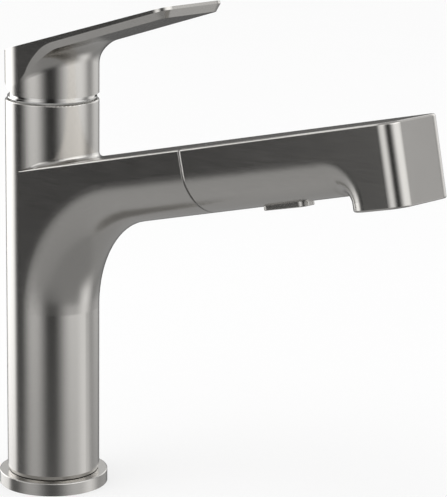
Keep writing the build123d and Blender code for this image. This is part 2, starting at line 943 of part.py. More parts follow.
def u_section(u, inset):
    # closed outline of the spout at u, in spout coordinates
    radius = half_width(u, round_centre(u)) - inset
    low = -round_centre(u)
    top = -inset
    points = [(u, -radius, low), (u, -radius, top), (u, radius, top), (u, radius, low)]
    arc = ThreePointArc(points[3], (u, 0, low - radius), points[0])
    lines = [Line(points[i], points[i + 1]) for i in range(3)]
    return Face(Wire(lines + [arc]))


def section_bar(start, end, inset):
    return loft([u_section(start, inset), u_section(end, inset)], ruled=True)


def make_spout_guide():
    guide = section_bar(guide_start_u, seam_u - loose_fit, spout_wall + seat_fit)
    guide = guide - along_u(hose_d / 2 + guide_bush_slack, 0, guide_bush_u, hose_drop)
    guide = guide - along_u(collar_spigot_d / 2 + slide_fit, guide_bush_u - 1, seam_u + 1, hose_drop)
    return at_spout(guide)


def outlet_inner(share):
    # how far the outlet's back lies inside the bend's centre line, from start to end of the bend
    start = half_width(outlet_start_u, round_centre(outlet_start_u))
    return start + (outlet_back_round - start) * share


def head_bend_point(angle, radius):
    low = round_centre(outlet_start_u)
    a = math.radians(angle)
    u = outlet_start_u + radius * math.sin(a)
    w = low + outlet_bend_r - radius * math.cos(a)
    return u, w


def head_bend_section(share, reach, inset):
    outer = side_point(*head_bend_point(90 * share, outlet_bend_r))
    inner = side_point(*head_bend_point(90 * share, outlet_bend_r - 1))
    inward = (inner - outer).normalized()
    return u_face(outer, inward, outlet_inner(share), reach, inset)


def head_solid(inset, start_u, mouth_w):
    # straight part, outlet bend and mouth, under the top plane and behind the end face
    steps = 6
    reach = column_d
    first = spout_section(start_u, reach, inset)
    sections = [head_bend_section(i / steps, reach, inset) for i in range(steps + 1)]
    straight = loft([first, sections[0]], ruled=True)
    bend = loft(sections)
    end_u, end_w = head_bend_point(90, outlet_bend_r)
    back = Vector(-math.cos(rise), 0, -math.sin(rise))
    mouth_end = u_face(side_point(end_u, mouth_w), back, outlet_back_round, reach, inset)
    mouth = loft([sections[-1], mouth_end], ruled=True)
    bend = bend - beyond_face(inset) - above_top(inset)
    mouth = mouth - beyond_face(inset)
    return (straight - above_top(inset)) + bend + mouth


def beyond_face(inset):
    # everything past the end face, which leans back a little towards its foot
    cut = block(0, cutter_reach, -column_d, column_d, -cutter_reach, cutter_reach)
    return at_spout(Pos(head_end_u - inset, 0, 0) * Rot(0, head_face_lean, 0) * cut)


def is_front_corner(edge, inset):
    point = edge.position_at(0.5)
    u, w = local_uw(point)
    at_front = abs(u - head_end_u + inset) < 1.5
    at_side = abs(point.Y) > half_width(u, w) - inset - 0.5
    upright = abs(edge.tangent_at(0.5).X) < 0.5 and abs(edge.tangent_at(0.5).Y) < 0.1
    return at_front and at_side and upright


def is_head_top_edge(edge):
    u, w = local_uw(edge.position_at(0.5))
    on_seam = abs(u - seam_u - seam_gap) < 0.1
    return abs(w) < 0.02 and not on_seam


def is_mouth_edge(edge):
    u, w = local_uw(edge.position_at(0.5))
    return abs(w - outlet_depth) < 0.02


def make_head_shell():
    start_u = seam_u + seam_gap
    shell = head_solid(0, start_u, outlet_depth)
    shell = fillet([e for e in shell.edges() if is_front_corner(e, 0)], head_corner_r)
    shell = fillet([e for e in shell.edges() if is_head_top_edge(e)], spout_edge_r)
    mouth = [e for e in shell.edges() if is_mouth_edge(e)]
    shell = fillet(mouth, outlet_edge_r)
    hollow = head_solid(head_wall, start_u - 1, outlet_depth + 1)
    corners = [e for e in hollow.edges() if is_front_corner(e, head_wall)]
    hollow = fillet(corners, head_corner_r - head_wall)
    shell = shell - hollow
    return shell - at_spout(button_plate(loose_fit, outlet_depth, button_flange_w))


def button_plate(grow, low_w, top_w):
    length = button_end_u - button_start_u + 2 * grow
    width = button_w + 2 * grow
    plan = RectangleRounded(length, width, button_corner_r + grow)
    middle = (button_start_u + button_end_u) / 2
    return Pos(middle, 0, -low_w) * extrude(plan, amount=low_w - top_w)


def make_docking_collar():
    spigot = along_u(collar_spigot_d / 2, collar_spigot_start_u, collar_plate_u + 1, hose_drop)
    plate = section_bar(collar_plate_u, collar_plate_u + collar_plate_t, head_wall + seat_fit)
    collar = spigot + plate
    collar = collar - along_u(collar_spigot_bore_d / 2, 0, hose_nut_end() + nut_end_gap, hose_drop)
    collar = collar - along_u(nipple_d / 2 + seat_fit, 0, waterway_start_u + 1, hose_drop)
    return at_spout(collar)


def hose_nut_end():
    return hose_nut_start_u + hose_nut_length


def make_hose_nut():
    nut = along_u(hose_nut_d / 2, hose_nut_start_u, hose_nut_end(), hose_drop)
    nut = nut - along_u(ferrule_d / 2 + seat_fit, 0, nipple_start_u, hose_drop)
    nut = nut - along_u(nipple_d / 2 + seat_fit, 0, hose_nut_end() + 1, hose_drop)
    return at_spout(nut)


def make_inlet_ring():
    groove_r = nipple_d / 2 - inlet_ring_wire_r
    low = nipple_groove_u
    ring = along_u(nipple_d / 2, low, low + 2 * inlet_ring_wire_r, hose_drop)
    return at_spout(ring - along_u(groove_r, low - 1, low + 3, hose_drop))


def outlet_plan(inset):
    # plan of the outlet: half ellipse at the back, square front with rounded corners
    end_u, end_w = head_bend_point(90, outlet_bend_r)
    half = half_width(end_u, end_w) - inset
    front = outlet_front_u() - inset
    corner = head_corner_r - inset
    bow = EllipticalCenterArc((end_u, 0), outlet_back_round - inset, half, start_angle=90, arc_size=180)
    edges = [
        bow,
        Line((end_u, -half), (front - corner, -half)),
        CenterArc((front - corner, -half + corner), corner, -90, 90),
        Line((front, -half + corner), (front, half - corner)),
        CenterArc((front - corner, half - corner), corner, 0, 90),
        Line((front - corner, half), (end_u, half)),
    ]
    return make_face(Wire(edges))


def outlet_front_u():
    return head_end_u - math.tan(math.radians(head_face_lean)) * outlet_depth


def outlet_back_u():
    return head_bend_point(90, outlet_bend_r)[0] - outlet_back_round


def aerator_place():
    return (outlet_front_u() + outlet_back_u()) / 2 + aerator_forward


def outlet_slab(inset, top_w, bottom_w):
    slab = extrude(outlet_plan(inset), amount=bottom_w - top_w)
    return Pos(0, 0, -bottom_w) * slab


def make_waterway():
    body = along_u(waterway_d / 2, waterway_start_u, waterway_end_u, hose_drop)
    body = body + along_u(nipple_d / 2, nipple_start_u, waterway_start_u + 1, hose_drop)
    body = body + outlet_slab(chamber_inset, chamber_top_drop, chamber_depth)
    inner_top = chamber_top_drop + chamber_wall
    body = body - outlet_slab(chamber_inset + chamber_wall, inner_top, chamber_depth + 1)
    bore = along_u(nipple_bore_d / 2, nipple_start_u - 1, waterway_end_u + bore_lap, hose_drop)
    body = body - bore
    seat_end = check_valve_start_u + check_valve_length
    body = body - along_u(check_valve_d / 2 + seat_fit, check_valve_start_u, seat_end, hose_drop)
    spool_bore = along_w(spool_d / 2 + running_fit, spool_bore_top_w, outlet_depth, spool_u)
    body = body - spool_bore
    groove_end = nipple_groove_u + 2 * inlet_ring_wire_r
    groove = along_u(nipple_d / 2 + 1, nipple_groove_u, groove_end, hose_drop)
    core = along_u(nipple_d / 2 - inlet_ring_wire_r, nipple_start_u, waterway_start_u, hose_drop)
    body = body - (groove - core)
    return at_spout(body)


def make_check_valve():
    low = check_valve_start_u + seat_fit
    high = low + check_valve_length - 2 * seat_fit
    valve = along_u(check_valve_d / 2, low, high, hose_drop)
    bore_end = high - check_valve_back
    valve = valve - along_u(check_valve_d / 2 - check_valve_wall, low - 1, bore_end, hose_drop)
    return at_spout(valve + along_u(check_valve_stem_r, low + check_valve_back, high, hose_drop))


def make_spray_face():
    bottom = outlet_depth - spray_face_recess
    face = outlet_slab(spray_face_inset, bottom - spray_face_t, bottom)
    face = face - along_w(aerator_d / 2 + seat_fit, 0, outlet_depth + 1, aerator_place())
    for u, v in nozzle_places():
        face = face - along_w(nozzle_hole_r, bottom - spray_face_t - 1, bottom + 1, u, v)
    return at_spout(face)


def nozzle_places():
    places = []
    end_u, end_w = head_bend_point(90, outlet_bend_r)
    ring_a = (outlet_front_u() - outlet_back_u()) / 2 - spray_face_inset - nozzle_end_margin
    ring_b = half_width(end_u, end_w) - spray_face_inset - nozzle_side_margin
    for i in range(nozzle_count):
        a = 2 * math.pi * (i + 0.5) / nozzle_count
        places.append((aerator_place() + ring_a * math.cos(a), ring_b * math.sin(a)))
    return places


def make_nozzle_mat():
    top = outlet_depth - spray_face_recess - spray_face_t - nozzle_mat_t
    low = top + nozzle_mat_t - seat_fit
    mat = outlet_slab(nozzle_mat_inset, top, low)
    mat = mat - along_w(aerator_d / 2 + seat_fit, 0, outlet_depth + 1, aerator_place())
    tip_w = outlet_depth - spray_face_recess + nozzle_proud
    for u, v in nozzle_places():
        nipple = Pos(u, v, -(low + tip_w) / 2) * Cone(nozzle_root_r, nozzle_tip_r, tip_w - low)
        mat = mat + nipple - along_w(nozzle_bore_r, top - 1, tip_w + 1, u, v)
    return at_spout(mat)


def make_aerator_housing():
    bottom = outlet_depth - aerator_recess
    r = aerator_d / 2
    housing = along_w(r, bottom - aerator_h, bottom, aerator_place())
    return at_spout(housing - along_w(r - aerator_wall, 0, bottom + 1, aerator_place()))


def make_aerator_screen():
    bottom = outlet_depth - screen_recess
    r = aerator_d / 2 - aerator_wall - seat_fit
    screen = along_w(r, bottom - screen_t, bottom, aerator_place())
    reach = r - screen_hole_r - screen_rim
    count = int(reach / screen_pitch)
    holes = []
    for i in range(-count, count + 1):
        for j in range(-count, count + 1):
            x = i * screen_pitch
            y = j * screen_pitch
            if math.hypot(x, y) <= reach:
                u = aerator_place() + x
                holes.append(along_w(screen_hole_r, bottom - screen_t - 1, bottom + 1, u, y))
    return at_spout(screen - holes)


def make_aerator_insert():
    bottom = outlet_depth - screen_recess - screen_t - seat_fit
    r = aerator_d / 2 - aerator_wall - seat_fit
    insert = along_w(r, bottom - insert_t, bottom, aerator_place())
    for i in range(insert_hole_count):
        x, y = ring_point(insert_hole_circle_r, 360 * i / insert_hole_count)
        insert = insert - along_w(insert_hole_r, 0, outlet_depth, aerator_place() + x, y)
    return at_spout(insert)


def make_mode_button():
    plate = button_plate(0, button_proud_w, button_flange_w)
    under = [e for e in plate.edges() if abs(e.center().Z + button_proud_w) < 0.01]
    plate = fillet(under, button_edge_r)
    flange = button_plate(button_flange_out, button_flange_w, button_flange_w - button_flange_t)
    return at_spout(plate + flange)


def make_diverter_spool():
    low = button_flange_w - button_flange_t
    spool = along_w(spool_d / 2, spool_top_w, low, spool_u)
    for w in seal_places():
        groove = along_w(spool_d, w, w + seal_groove_w, spool_u)
        core = along_w(spool_d / 2 - seal_groove_depth, w, w + seal_groove_w, spool_u)
        spool = spool - (groove - core)
    return at_spout(spool)


def seal_places():
    first = spool_top_w + seal_groove_start
    return [first, first + seal_groove_step]


def make_spool_seals():
    rings = []
    hole_r = spool_d / 2 - seal_groove_depth + seal_slack
    for w in seal_places():
        ring = along_w(spool_d / 2, w + seal_slack, w + seal_groove_w - seal_slack, spool_u)
        rings.append(at_spout(ring - along_w(hole_r, w - 1, w + 2, spool_u)))
    return Compound(rings)


def make_button_spring():
    top = spool_bore_top_w + spring_end_gap + spring_wire_r
    low = spool_top_w - spring_end_gap - spring_wire_r
    height = low - top
    pitch = height / spring_turns
    path = Helix(pitch, height, spring_mean_r)
    start = Plane(origin=path @ 0, z_dir=path % 0)
    coil = sweep(start * Circle(spring_wire_r), path, is_frenet=True)
    print("spring least gap between turns", round(pitch - 2 * spring_wire_r, 2))
    return at_spout(Pos(spool_u, 0, -low) * coil)


makers = {
    "base_ring": make_base_ring,
    "base_seal": make_base_seal,
    "inner_column": make_inner_column,
    "mounting_shank": make_shank,
    "rubber_washer": make_rubber_washer,
    "clamp_washer": make_clamp_washer,
    "mounting_nut": make_mounting_nut,
    "clamp_screws": make_clamp_screws,
    "cold_tube": lambda: make_water_tube(tube_angles[0], tube_bottom_z),
    "mixed_tube": lambda: make_water_tube(tube_angles[1], tube_bottom_z + mixed_tube_rise),
    "hot_tube": lambda: make_water_tube(tube_angles[2], tube_bottom_z),
    "lower_glide_ring": lambda: make_glide_ring(ring_h + loose_fit + glide_ring_inset),
    "upper_glide_ring": lambda: make_glide_ring(column_top_z - glide_ring_inset - glide_ring_h),
    "glide_washer": make_glide_washer,
    "cartridge_base": make_cartridge_base,
    "cartridge_seals": make_cartridge_seals,
    "fixed_disc": make_fixed_disc,
    "moving_disc": make_moving_disc,
    "disc_driver": make_disc_driver,
    "cartridge_rotor": make_cartridge_rotor,
    "pivot_pin": make_pivot_pin,
    "cartridge_housing": make_housing,
    "cartridge_nut": make_cartridge_nut,
    "valve_stem": make_stem,
    "trim_collar": make_trim_collar,
    "lever_handle": make_lever_handle,
    "handle_screw": make_handle_screw,
    "indicator_plug": make_indicator_plug,
    "spout_body": make_spout_body,
    "swivel_stop_screw": make_stop_screw,
    "spout_guide": make_spout_guide,
    "spray_hose": make_hose,
    "lower_ferrule": make_lower_ferrule,
    "hose_connector": make_hose_connector,
    "head_ferrule": make_head_ferrule,
    "hose_nut": make_hose_nut,
    "inlet_ring": make_inlet_ring,
    "docking_collar": make_docking_collar,
    "head_shell": make_head_shell,
    "waterway": make_waterway,
    "check_valve": make_check_valve,
    "spray_face": make_spray_face,
    "nozzle_mat": make_nozzle_mat,
    "aerator_housing": make_aerator_housing,
    "aerator_screen": make_aerator_screen,
    "aerator_insert": make_aerator_insert,
    "mode_button": make_mode_button,
    "diverter_spool": make_diverter_spool,
    "spool_seals": make_spool_seals,
    "button_spring": make_button_spring,
}

os.makedirs("parts", exist_ok=True)
for name, maker in makers.items():
    export_step(maker(), "parts/" + name + ".step")
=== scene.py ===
import math

import bmesh
import bpy
from bpy.props import FloatProperty, FloatVectorProperty, IntProperty, PointerProperty
from mathutils import Matrix, Quaternion, Vector


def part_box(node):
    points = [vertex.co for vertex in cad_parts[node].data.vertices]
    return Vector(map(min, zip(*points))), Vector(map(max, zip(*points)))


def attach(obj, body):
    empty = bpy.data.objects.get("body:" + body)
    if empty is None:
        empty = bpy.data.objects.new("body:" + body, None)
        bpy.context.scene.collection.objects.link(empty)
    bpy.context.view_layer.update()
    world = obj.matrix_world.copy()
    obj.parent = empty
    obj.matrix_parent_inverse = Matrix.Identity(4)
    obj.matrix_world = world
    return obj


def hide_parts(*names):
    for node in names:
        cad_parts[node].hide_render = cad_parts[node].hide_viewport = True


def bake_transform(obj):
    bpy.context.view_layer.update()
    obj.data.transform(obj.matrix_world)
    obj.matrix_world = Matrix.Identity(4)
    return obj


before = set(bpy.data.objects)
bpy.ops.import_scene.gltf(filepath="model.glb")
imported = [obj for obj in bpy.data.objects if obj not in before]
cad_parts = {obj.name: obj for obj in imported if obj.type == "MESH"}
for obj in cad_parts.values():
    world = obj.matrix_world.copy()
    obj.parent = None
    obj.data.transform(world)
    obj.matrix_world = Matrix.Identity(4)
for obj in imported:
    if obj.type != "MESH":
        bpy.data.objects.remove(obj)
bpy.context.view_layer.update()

bl_info = {
    "name": "Pull-out kitchen faucet",
    "version": (1, 0, 0),
    "blender": (4, 5, 0),
    "location": "3D View > Sidebar > Faucet",
    "description": (
        "Finishes, braided hose, threads, camera and studio for a pull-out kitchen faucet"
    ),
    "category": "Object",
}

# Places that repeat the source's own route and sizes, in metres. A piece inside the spout has its
# place along the spout and its drop below the spout's top.
SPOUT_RISE = math.radians(13.1)
ALONG_SPOUT = Vector((math.cos(SPOUT_RISE), 0, math.sin(SPOUT_RISE)))
ABOVE_SPOUT = Vector((-math.sin(SPOUT_RISE), 0, math.cos(SPOUT_RISE)))
SPOUT_START = Vector((0, 0, 0.1555))
SEAM_ALONG = 0.10215
HOSE_DROP = 0.0153
HOSE_BEND = 0.045
HOSE_RADIUS = 0.006
HOSE_SPLIT = 0.058
HOSE_END = 0.0883
SHANK_RADIUS = 0.0165
SHANK_BORE = 0.015
SHANK_LENGTH = 0.072
SPRING_ALONG = 0.143
SPRING_TOP = 0.00865
SPRING_FOOT = 0.01295
SPRING_RADIUS = 0.0025
SPRING_WIRE = 0.0003
SPRING_TURNS = 4

# The shank's thread, which the source leaves plain: its pitch and depth in metres, how much its
# crests are flattened, its share of depth at the ends and the turns in which it reaches the rest.
THREAD_PITCH = 0.0015
THREAD_DEPTH = 0.0006
THREAD_CREST = 1.35
THREAD_START = 0.35
THREAD_LEAD = 1.5

# Depth of the seam's rounding, as a share of its width.
SEAM_DEPTH_SHARE = 1.6

# Half the width over which the plug's red passes into its blue.
PLUG_BLUR = 0.00015

# Rows of the hose's straight, its bend and its run along the spout.
HOSE_ROWS = (90, 40, 60)

SENSOR_WIDTH = 36.0
LAMP_SIZE = 1.6
LAMP_PLACE = Vector((-0.5, -1.3, 1.9))
LAMP_AIM = Vector((0.1, 0, 0.08))
WHITE = (1, 1, 1, 1)

# The studio's soft panels: compass direction from +X, half width, soft edge, level, and the
# heights between which the panel comes up, with all angles in degrees. A patch fades out again
# up to a third height.
PANELS = (
    (184, 17, 15, 2.0, -45, -4),
    (-92, 4, 35, 1.45, -39, 15),
    (14, 11, 46, 1.2, -43, 2),
    (90, 7, 31, 1.25, -36, 9),
    (160, 45, 45, 1.0, 0, 28),
)
HIGH_PATCH = (10, 26, 34, 1.1, 10, 30, 62)
GROUND_SHADES = (
    (0, 50, 28, -0.055, -91, -90),
    (205, 0, 90, 0.065, -91, -90),
)
GROUND_PATCH = (47, 0, 32, 0.8, -46, -26, -5)

# Heights, in degrees, between which the walls pass into the ground and into the ceiling.
GROUND_FADE = (-13, -32)
CEILING_FADE = (10, 50)

# Pieces that the deck keeps out of sight, and so out of the metal's mirror.
BELOW_DECK = (
    "base_seal",
    "rubber_washer",
    "clamp_washer",
    "mounting_nut",
    "clamp_screws",
    "cold_tube",
    "mixed_tube",
    "hot_tube",
    "lower_ferrule",
    "hose_connector",
)


class FaucetCamera(bpy.types.PropertyGroup):
    distance: FloatProperty(
        name="Distance",
        description="Level distance from the column's axis to the camera",
        default=1.10999,
        unit="LENGTH",
    )
    height: FloatProperty(
        name="Height",
        description="Camera's height above the deck",
        default=0.37318,
        unit="LENGTH",
    )
    around: FloatProperty(
        name="Around",
        description="How far round the column the camera stands",
        default=math.radians(46.11),
        subtype="ANGLE",
    )
    turn: FloatProperty(
        name="Turn",
        description="How far the camera looks to the right of the column",
        default=math.radians(4.025),
        subtype="ANGLE",
    )
    dip: FloatProperty(
        name="Dip",
        description="How far the camera looks down",
        default=math.radians(13.255),
        subtype="ANGLE",
    )
    roll: FloatProperty(
        name="Roll",
        description="How far the camera leans about its own line of sight",
        default=math.radians(-0.706),
        subtype="ANGLE",
    )
    lens: FloatProperty(
        name="Lens",
        description="Focal length in millimetres",
        default=173.67,
        unit="CAMERA",
    )
    shift: FloatVectorProperty(
        name="Shift",
        description="Picture shift as a share of its long side",
        size=2,
        default=(0.0130, 0.0142),
    )


class FaucetStudio(bpy.types.PropertyGroup):
    floor_size: FloatProperty(
        name="Floor size",
        description="Side of the pale floor",
        default=14.0,
        unit="LENGTH",
    )
    floor_colour: FloatVectorProperty(
        name="Floor colour",
        description="Colour of the pale floor",
        size=3,
        default=(0.93, 0.93, 0.93),
        subtype="COLOR",
    )
    soft_level: FloatProperty(
        name="Soft level",
        description="Plain level of the light from all round",
        default=0.95,
        min=0.0,
    )
    panel_level: FloatProperty(
        name="Panel level",
        description="Level of the whole studio as the metal mirrors it",
        default=1.0,
        min=0.0,
    )
    wall_level: FloatProperty(
        name="Wall level",
        description="Level of the dark walls between the panels",
        default=0.025,
        min=0.0,
    )
    ground_level: FloatProperty(
        name="Ground level",
        description="Level of the grey ground as the metal mirrors it",
        default=0.35,
        min=0.0,
    )
    overhead_level: FloatProperty(
        name="Overhead level",
        description="Level of the ceiling as the metal mirrors it",
        default=0.45,
        min=0.0,
    )
    floor_glow: FloatProperty(
        name="Floor glow",
        description="Share of plain white in the floor as the camera sees it",
        default=0.6,
        min=0.0,
        max=1.0,
        subtype="FACTOR",
    )
    lamp_power: FloatProperty(
        name="Lamp power",
        description="Power of the large soft lamp",
        default=9.0,
        unit="POWER",
    )


class FaucetMetal(bpy.types.PropertyGroup):
    nickel: FloatVectorProperty(
        name="Nickel",
        description="Colour of the brushed nickel",
        size=3,
        default=(0.60, 0.585, 0.56),
        subtype="COLOR",
    )
    roughness: FloatProperty(
        name="Roughness",
        description="Roughness of the brushed nickel",
        default=0.22,
        min=0.0,
        max=1.0,
        subtype="FACTOR",
    )
    stroke_depth: FloatProperty(
        name="Stroke depth",
        description="Depth of the brushing strokes",
        default=0.0000004,
        unit="LENGTH",
    )
    eased_edge: FloatProperty(
        name="Eased edge",
        description="Width over which the castings round off into the seam",
        default=0.0008,
        unit="LENGTH",
    )
    brass: FloatVectorProperty(
        name="Brass",
        description="Colour of the turned brass",
        size=3,
        default=(0.72, 0.56, 0.30),
        subtype="COLOR",
    )
    copper: FloatVectorProperty(
        name="Copper",
        description="Colour of the drawn copper",
        size=3,
        default=(0.78, 0.42, 0.28),
        subtype="COLOR",
    )
    steel: FloatVectorProperty(
        name="Steel",
        description="Colour of the stainless steel",
        size=3,
        default=(0.58, 0.58, 0.59),
        subtype="COLOR",
    )


class FaucetHose(bpy.types.PropertyGroup):
    strands: IntProperty(
        name="Strands",
        description="Braid strands each way round the hose",
        default=24,
        min=4,
    )
    pitch: FloatProperty(
        name="Pitch",
        description="Length in which a strand goes once round the hose",
        default=0.032,
        unit="LENGTH",
    )
    dark: FloatVectorProperty(
        name="Dark strand",
        description="Colour of the dark strands",
        size=3,
        default=(0.035, 0.035, 0.038),
        subtype="COLOR",
    )
    light: FloatVectorProperty(
        name="Light strand",
        description="Colour of the light strands",
        size=3,
        default=(0.42, 0.42, 0.43),
        subtype="COLOR",
    )


def add_node(tree, kind, inputs=None, **settings):
    """A node with its settings, whose inputs are values or other nodes' sockets."""
    node = tree.nodes.new(kind)
    for name, value in settings.items():
        setattr(node, name, value)
    for socket, value in (inputs or {}).items():
        if isinstance(value, bpy.types.NodeSocket):
            tree.links.new(value, node.inputs[socket])
        else:
            node.inputs[socket].default_value = value
    return node


def fresh_material(name):
    """A new material with one shader, and its shader, tree and object coordinates."""
    material = bpy.data.materials.new(name)
    material.use_nodes = True
    tree = material.node_tree
    tree.nodes.clear()
    shader = add_node(tree, "ShaderNodeBsdfPrincipled")
    out = add_node(tree, "ShaderNodeOutputMaterial")
    tree.links.new(shader.outputs["BSDF"], out.inputs["Surface"])
    place = add_node(tree, "ShaderNodeTexCoord").outputs["Object"]
    return material, tree, shader, place


def grain(tree, place, scale, stretch=(1, 1, 1), turn=(0, 0, 0), detail=4.0):
    """Noise over the object's own coordinates, drawn out along its strokes."""
    laid = add_node(
        tree, "ShaderNodeMapping", {"Vector": place, "Rotation": turn, "Scale": stretch}
    )
    return add_node(
        tree,
        "ShaderNodeTexNoise",
        {"Vector": laid.outputs["Vector"], "Scale": scale, "Detail": detail},
    ).outputs["Fac"]


def spread(tree, value, low, high, start=0.3, end=0.7):
    """A noise value mapped to the range from low to high."""
    return add_node(
        tree,
        "ShaderNodeMapRange",
        {
            "Value": value,
            "From Min": start,
            "From Max": end,
            "To Min": low,
            "To Max": high,
        },
    ).outputs["Result"]


def tinted(tree, value, dark, light):
    """Two colours mixed by a noise value."""
    mix = add_node(tree, "ShaderNodeMix", data_type="RGBA")
    tree.links.new(value, mix.inputs["Factor"])
    mix.inputs["A"].default_value = (*dark, 1)
    mix.inputs["B"].default_value = (*light, 1)
    return mix.outputs["Result"]


def bumped(tree, height, distance, under=None):
    """Relief from a height, laid over any relief under it."""
    inputs = {"Height": height, "Distance": distance, "Strength": 1.0}
    if under is not None:
        inputs["Normal"] = under
    return add_node(tree, "ShaderNodeBump", inputs).outputs["Normal"]


def figure(tree, operation, *values):
    """A sum worked out in the node tree."""
    inputs = dict(enumerate(values))
    return add_node(tree, "ShaderNodeMath", inputs, operation=operation).outputs["Value"]


def reach(tree, place, way):
    """How far a place lies along a direction."""
    inputs = {0: place, 1: way}
    node = add_node(tree, "ShaderNodeVectorMath", inputs, operation="DOT_PRODUCT")
    return node.outputs["Value"]


def fade(tree, value, start, end):
    """0 before the start, 1 past the end and a smooth change between them."""
    return add_node(
        tree,
        "ShaderNodeMapRange",
        {"Value": value, "From Min": start, "From Max": end},
        interpolation_type="SMOOTHSTEP",
    ).outputs["Result"]


def blended(tree, share, first, second):
    """One value passing into another by a share."""
    inputs = {"Factor": share, "A": first, "B": second}
    return add_node(tree, "ShaderNodeMix", inputs, data_type="FLOAT").outputs["Result"]


def mixed_shader(tree, share, first, second):
    """One shader passing into another by a share."""
    inputs = {"Fac": share, 1: first, 2: second}
    return add_node(tree, "ShaderNodeMixShader", inputs).outputs["Shader"]


def shade(colour, share):
    """A colour made darker or lighter by a share."""
    return tuple(min(1.0, c * share) for c in colour)


def join_finish(tree, shader, colours, sheen, relief=None):
    """Joins a finish's colour, roughness and relief to its shader."""
    tree.links.new(colours, shader.inputs["Base Color"])
    tree.links.new(sheen, shader.inputs["Roughness"])
    if relief is not None:
        tree.links.new(relief, shader.inputs["Normal"])


def brushed_metal(name, colour, roughness, stretch, turn, depth, scale=1500.0):
    """Satin metal with fine strokes one way, faint cloudiness and a slightly uneven sheen."""
    material, tree, shader, place = fresh_material(name)
    strokes = grain(tree, place, scale, stretch, turn, 3.0)
    cloud = grain(tree, place, 45.0, detail=2.0)
    both = blended(tree, 0.3, strokes, cloud)
    colours = tinted(tree, spread(tree, both, 0, 1), shade(colour, 0.97), shade(colour, 1.03))
    sheen = spread(tree, both, roughness * 0.92, roughness * 1.08)
    join_finish(tree, shader, colours, sheen, bumped(tree, strokes, depth))
    shader.inputs["Metallic"].default_value = 1.0
    return material


def round_seam(material, width):
    """Rounds the two castings off where they meet at the seam."""
    tree = material.node_tree
    place = next(n for n in tree.nodes if n.type == "TEX_COORD").outputs["Object"]
    shader = next(n for n in tree.nodes if n.type == "BSDF_PRINCIPLED")
    strokes = shader.inputs["Normal"].links[0].from_socket
    run = reach(tree, place, ALONG_SPOUT)
    middle = SEAM_ALONG + SPOUT_START @ ALONG_SPOUT
    off = figure(tree, "ABSOLUTE", figure(tree, "SUBTRACT", run, middle))
    height = fade(tree, off, -width, width)
    round_off = bumped(tree, height, width * SEAM_DEPTH_SHARE, strokes)
    tree.links.new(round_off, shader.inputs["Normal"])


def turned_metal(name, colour, roughness, depth):
    """Metal off the lathe: rings of fine tool marks up its axis, and faint stains."""
    material, tree, shader, place = fresh_material(name)
    rings = grain(tree, place, 900.0, (0.04, 0.04, 1.6), detail=3.0)
    stains = grain(tree, place, 130.0, detail=4.0)
    colours = tinted(tree, spread(tree, stains, 0, 1), shade(colour, 0.84), shade(colour, 1.06))
    sheen = spread(tree, rings, roughness * 0.7, roughness * 1.35)
    join_finish(tree, shader, colours, sheen, bumped(tree, rings, depth))
    shader.inputs["Metallic"].default_value = 1.0
    return material


def moulded_plastic(name, colour, roughness, depth, scale=700.0):
    """Moulded plastic or rubber with a fine sparked grain and faint flow marks."""
    material, tree, shader, place = fresh_material(name)
    spark = grain(tree, place, scale, detail=5.0)
    flow = grain(tree, place, 60.0, (1, 1, 0.3), detail=2.0)
    colours = tinted(tree, spread(tree, flow, 0, 1), shade(colour, 0.92), shade(colour, 1.05))
    sheen = spread(tree, spark, roughness * 0.85, roughness * 1.12)
    join_finish(tree, shader, colours, sheen, bumped(tree, spark, depth))
    return material


def two_tone_plug(name):
    """Gloss plug, red on the hot side and blue on the cold side."""
    material, tree, shader, place = fresh_material(name)
    parts = add_node(tree, "ShaderNodeSeparateXYZ", {"Vector": place})
    side = spread(tree, parts.outputs["Y"], 0, 1, -PLUG_BLUR, PLUG_BLUR)
    speckle = grain(tree, place, 2500.0)
    colours = tinted(tree, side, (0.45, 0.02, 0.02), (0.02, 0.06, 0.42))
    join_finish(tree, shader, colours, spread(tree, speckle, 0.16, 0.26))
    return material


def braided_nylon(name, hose):
    """Crossing strands of a nylon braid, worked out from the hose's own length and turn."""
    material, tree, shader, _ = fresh_material(name)
    route = add_node(tree, "ShaderNodeAttribute", attribute_name="hose_route").outputs["Vector"]
    parts = add_node(tree, "ShaderNodeSeparateXYZ", {"Vector": route})
    turn, length = parts.outputs["X"], parts.outputs["Y"]
    waves = []
    for way in (1, -1):
        twist = figure(tree, "MULTIPLY_ADD", length, way / hose.pitch, turn)
        angle = figure(tree, "MULTIPLY", twist, hose.strands * 2 * math.pi)
        waves.append(figure(tree, "SINE", angle))
    over = figure(tree, "MULTIPLY", *waves)
    height = figure(tree, "MAXIMUM", *waves)
    colours = tinted(tree, spread(tree, over, 0, 1, -0.5, 0.5), hose.dark, hose.light)
    sheen = spread(tree, height, 0.62, 0.42, -1, 1)
    join_finish(tree, shader, colours, sheen, bumped(tree, height, 0.00025))
    return material


def smooth_by_angle(obj, limit=math.radians(32)):
    """Smooth faces with sharp edges wherever two faces meet at more than the limit."""
    mesh = obj.data
    mesh.shade_smooth()
    work = bmesh.new()
    work.from_mesh(mesh)
    sharp = [e.index for e in work.edges if len(e.link_faces) != 2 or e.calc_face_angle(0) > limit]
    work.free()
    for index in sharp:
        mesh.edges[index].use_edge_sharp = True


def dress(node, material):
    """Gives a carried-over node its material."""
    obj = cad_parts[node]
    obj.data.materials.clear()
    obj.data.materials.append(material)
    return obj


def smooth_piece(name, verts, faces, material):
    """A smooth mesh piece of one material."""
    mesh = bpy.data.meshes.new(name)
    mesh.from_pydata(verts, [], faces)
    mesh.materials.append(material)
    mesh.shade_smooth()
    obj = bpy.data.objects.new(name, mesh)
    bpy.context.scene.collection.objects.link(obj)
    return obj


